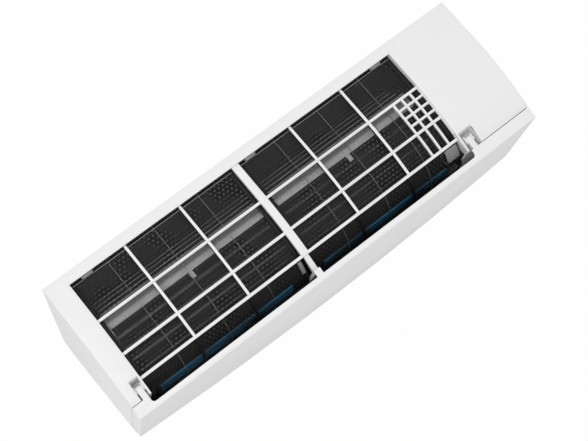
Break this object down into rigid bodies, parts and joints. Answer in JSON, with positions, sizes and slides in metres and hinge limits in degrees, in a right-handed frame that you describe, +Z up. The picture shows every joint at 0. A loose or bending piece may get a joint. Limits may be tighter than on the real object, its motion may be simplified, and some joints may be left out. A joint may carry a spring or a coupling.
{
  "type": "mini split indoor unit",
  "caption": "Wall-hung indoor unit of a mini split air conditioner with a crowned grille top, tilting front panel, curved filters, coil, cross-flow fan and outlet louver.",
  "frame": {"origin": "middle of the back face of the wall plate, on the wall", "axes": "+X along the unit, to the right seen from the room; -Y into the room; +Z up"},
  "size_m": [0.8, 0.2429, 0.287],
  "materials": {
    "cabinet_white": "fine satin texture",
    "panel_white": "fine satin texture",
    "louver_white": "fine satin texture",
    "filter_dark": "satin",
    "filter_net": "woven, matt",
    "clear_tab": "translucent",
    "purifier_blue": "satin",
    "fin_aluminium": "fine fins",
    "plate_steel": "galvanised",
    "tube_copper": "drawn copper",
    "strip_grey": "satin",
    "chassis_grey": "satin",
    "fan_black": "satin",
    "shaft_steel": "ground",
    "bearing_rubber": "matt",
    "bearing_bronze": "sintered",
    "nut_brass": "machined",
    "motor_case": "plated",
    "vane_black": "satin",
    "spigot_white": "satin",
    "box_plastic": "satin",
    "board_green": "solder resist",
    "board_parts": "satin",
    "display_grey": "satin",
    "button_grey": "satin",
    "sensor_black": "satin"
  },
  "bodies": {
    "cabinet": {"bearing_ring": "bearing_rubber", "board_components": "board_parts", "cable_gland": "bearing_rubber", "coil_end_plates": "plate_steel", "coil_front_lower": "fin_aluminium", "coil_front_upper": "fin_aluminium", "coil_rear": "fin_aluminium", "coil_top_strip": "strip_grey", "coil_tubes": "tube_copper", "control_board": "board_green", "display_module": "display_grey", "drain_pan": "chassis_grey", "drain_spigot": "spigot_white", "electrical_box": "box_plastic", "electrical_cover": "plate_steel", "end_walls": "chassis_grey", "fan_bearing": "bearing_bronze", "fan_motor": "motor_case", "filter_frame_left": "filter_dark", "filter_frame_right": "filter_dark", "filter_mesh_left": "filter_net", "filter_mesh_right": "filter_net", "filter_tabs": "clear_tab", "frame_screws": "shaft_steel", "front_frame": "cabinet_white", "gas_flare_nut": "nut_brass", "gas_pipe": "tube_copper", "hinge_ears": "cabinet_white", "intake_grille": "cabinet_white", "liquid_flare_nut": "nut_brass", "liquid_pipe": "tube_copper", "louver_motor": "motor_case", "motor_cradle": "chassis_grey", "motor_strap": "chassis_grey", "pipe_clamp": "chassis_grey", "purifier_strips": "purifier_blue", "rear_chassis": "chassis_grey", "recess_cover": "chassis_grey", "room_sensor": "sensor_black", "scroll_duct": "chassis_grey", "terminal_block": "box_plastic", "vane_carriers": "vane_black", "wall_plate": "plate_steel"},
    "panel": {"front_panel": "panel_white"},
    "fan": {"fan_rotor": "fan_black", "fan_axle": "shaft_steel", "fan_hub": "fan_black", "motor_shaft": "shaft_steel"},
    "outlet_louver": {"louver": "louver_white"},
    "button": {"test_button": "button_grey"},
    "link_left": {"vane_link_left": "vane_black"},
    "link_right": {"vane_link_right": "vane_black"},
    "left_vane_1": {"vane_left_1": "vane_black"},
    "left_vane_2": {"vane_left_2": "vane_black"},
    "left_vane_3": {"vane_left_3": "vane_black"},
    "left_vane_4": {"vane_left_4": "vane_black"},
    "right_vane_1": {"vane_right_1": "vane_black"},
    "right_vane_2": {"vane_right_2": "vane_black"},
    "right_vane_3": {"vane_right_3": "vane_black"},
    "right_vane_4": {"vane_right_4": "vane_black"}
  },
  "joints": [
    {"name": "panel_hinge", "type": "hinge", "parent": "cabinet", "child": "panel", "pos_m": [0, -0.204, 0.1055], "axis": [-1, 0, 0], "range_deg": [0, 60]},
    {"name": "fan_spin", "type": "hinge", "parent": "cabinet", "child": "fan", "pos_m": [0, -0.11, -0.0065], "axis": [1, 0, 0], "continuous": true},
    {"name": "louver_swing", "type": "hinge", "parent": "cabinet", "child": "outlet_louver", "pos_m": [0, -0.132, -0.1125], "axis": [1, 0, 0], "range_deg": [0, 65]},
    {"name": "left_link_slide", "type": "slide", "parent": "cabinet", "child": "link_left", "axis": [1, 0, 0], "range_m": [-0.00929, 0.00929]},
    {"name": "left_vane_1_swing", "type": "hinge", "parent": "cabinet", "child": "left_vane_1", "pos_m": [-0.31728, -0.10776, -0.08711], "axis": [0, 0.8673, -0.4978], "range_deg": [-30, 30]},
    {"name": "left_vane_2_swing", "type": "hinge", "parent": "cabinet", "child": "left_vane_2", "pos_m": [-0.24084, -0.10776, -0.08711], "axis": [0, 0.8673, -0.4978], "range_deg": [-30, 30]},
    {"name": "left_vane_3_swing", "type": "hinge", "parent": "cabinet", "child": "left_vane_3", "pos_m": [-0.16441, -0.10776, -0.08711], "axis": [0, 0.8673, -0.4978], "range_deg": [-30, 30]},
    {"name": "left_vane_4_swing", "type": "hinge", "parent": "cabinet", "child": "left_vane_4", "pos_m": [-0.08797, -0.10776, -0.08711], "axis": [0, 0.8673, -0.4978], "range_deg": [-30, 30]},
    {"name": "right_link_slide", "type": "slide", "parent": "cabinet", "child": "link_right", "axis": [1, 0, 0], "range_m": [-0.00929, 0.00929]},
    {"name": "right_vane_1_swing", "type": "hinge", "parent": "cabinet", "child": "right_vane_1", "pos_m": [-0.01153, -0.10776, -0.08711], "axis": [0, 0.8673, -0.4978], "range_deg": [-30, 30]},
    {"name": "right_vane_2_swing", "type": "hinge", "parent": "cabinet", "child": "right_vane_2", "pos_m": [0.06491, -0.10776, -0.08711], "axis": [0, 0.8673, -0.4978], "range_deg": [-30, 30]},
    {"name": "right_vane_3_swing", "type": "hinge", "parent": "cabinet", "child": "right_vane_3", "pos_m": [0.14134, -0.10776, -0.08711], "axis": [0, 0.8673, -0.4978], "range_deg": [-30, 30]},
    {"name": "right_vane_4_swing", "type": "hinge", "parent": "cabinet", "child": "right_vane_4", "pos_m": [0.21778, -0.10776, -0.08711], "axis": [0, 0.8673, -0.4978], "range_deg": [-30, 30]},
    {"name": "button_press", "type": "slide", "parent": "cabinet", "child": "button", "axis": [0, 0.9928, 0.1201], "range_m": [0, 0.0015], "stiffness_N_per_m": 200, "springref_m": -0.002}
  ],
  "couplings": [
    {"joint": "left_vane_1_swing", "follows": "left_link_slide", "rad_per_m": 56.179},
    {"joint": "left_vane_2_swing", "follows": "left_link_slide", "rad_per_m": 56.179},
    {"joint": "left_vane_3_swing", "follows": "left_link_slide", "rad_per_m": 56.179},
    {"joint": "left_vane_4_swing", "follows": "left_link_slide", "rad_per_m": 56.179},
    {"joint": "right_vane_1_swing", "follows": "right_link_slide", "rad_per_m": 56.179},
    {"joint": "right_vane_2_swing", "follows": "right_link_slide", "rad_per_m": 56.179},
    {"joint": "right_vane_3_swing", "follows": "right_link_slide", "rad_per_m": 56.179},
    {"joint": "right_vane_4_swing", "follows": "right_link_slide", "rad_per_m": 56.179}
  ]
}
